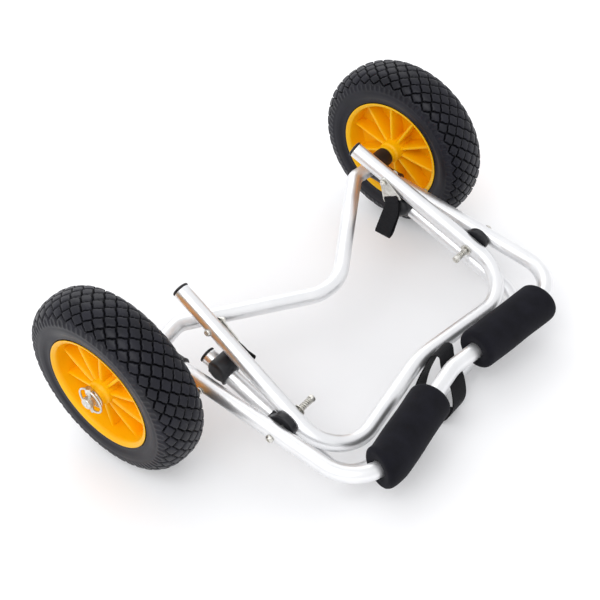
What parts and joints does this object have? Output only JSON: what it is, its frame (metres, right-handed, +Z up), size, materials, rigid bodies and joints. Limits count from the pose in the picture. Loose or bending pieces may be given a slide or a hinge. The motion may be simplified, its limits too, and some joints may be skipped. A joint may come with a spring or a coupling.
{
  "type": "folding kayak cart",
  "caption": "Folding cart that carries a kayak: bent aluminium tubes, a padded cradle, broad tyres on ribbed rims and a hinged stand, shown folded flat.",
  "frame": {"origin": "on the floor under the middle of the folded cart's bounding box", "axes": "+X forward from the wheel axle to the padded cradle, +Y along the axle from the left wheel to the right wheel, +Z up"},
  "size_m": [0.4798, 0.718, 0.2622],
  "materials": {
    "tube": "clear anodised, fine drawn grain",
    "tyre": "matte rubber with a block tread",
    "rim": "moulded, satin gloss",
    "hardware": "zinc plated",
    "fitting": "moulded black, faint grain",
    "foam": "closed-cell foam, dull skin",
    "webbing": "woven polyester"
  },
  "bodies": {
    "chassis": {"cradle_tube": "tube", "axle_tube": "tube", "left_axle": "hardware", "left_hub_washer": "hardware", "left_linch_pin": "hardware", "left_connector": "fitting", "left_lock_bolt": "hardware", "left_foam_pad": "foam", "left_hinge_bolt": "hardware", "left_hinge_washer": "hardware", "left_hinge_spring": "hardware", "left_hinge_nut": "hardware", "right_axle": "hardware", "right_hub_washer": "hardware", "right_linch_pin": "hardware", "right_connector": "fitting", "right_lock_bolt": "hardware", "right_foam_pad": "foam", "right_hinge_bolt": "hardware", "right_hinge_washer": "hardware", "right_hinge_spring": "hardware", "right_hinge_nut": "hardware"},
    "folding_frame": {"frame_tube": "tube", "stand_tube": "tube", "centre_strap": "webbing", "left_frame_cap": "fitting", "left_stand_cap": "fitting", "left_stand_lug": "fitting", "left_stand_tee": "fitting", "left_tie_bolt": "hardware", "left_tie_nut": "hardware", "right_frame_cap": "fitting", "right_stand_cap": "fitting", "right_stand_lug": "fitting", "right_stand_tee": "fitting", "right_tie_bolt": "hardware", "right_tie_nut": "hardware"},
    "left_wheel": {"left_tyre": "tyre", "left_rim": "rim"},
    "right_wheel": {"right_tyre": "tyre", "right_rim": "rim"},
    "left_tie": {"left_tie_plate": "hardware", "left_webbing_loop": "webbing"},
    "right_tie": {"right_tie_plate": "hardware", "right_webbing_loop": "webbing"}
  },
  "joints": [
    {"name": "left_wheel_spin", "type": "hinge", "parent": "chassis", "child": "left_wheel", "pos_m": [-0.10898, -0.3055, 0.13128], "axis": [0, 1, 0], "continuous": true},
    {"name": "right_wheel_spin", "type": "hinge", "parent": "chassis", "child": "right_wheel", "pos_m": [-0.10898, 0.3055, 0.13128], "axis": [0, 1, 0], "continuous": true},
    {"name": "frame_fold", "type": "hinge", "parent": "chassis", "child": "folding_frame", "pos_m": [0.08489, 0, 0.08376], "axis": [0, 1, 0], "range_deg": [0, 105]},
    {"name": "left_tie_swing", "type": "hinge", "parent": "folding_frame", "child": "left_tie", "pos_m": [-0.04395, -0.187, 0.16047], "axis": [0, 1, 0], "range_deg": [-8, 33]},
    {"name": "right_tie_swing", "type": "hinge", "parent": "folding_frame", "child": "right_tie", "pos_m": [-0.04395, 0.187, 0.16047], "axis": [0, 1, 0], "range_deg": [-8, 33]}
  ]
}
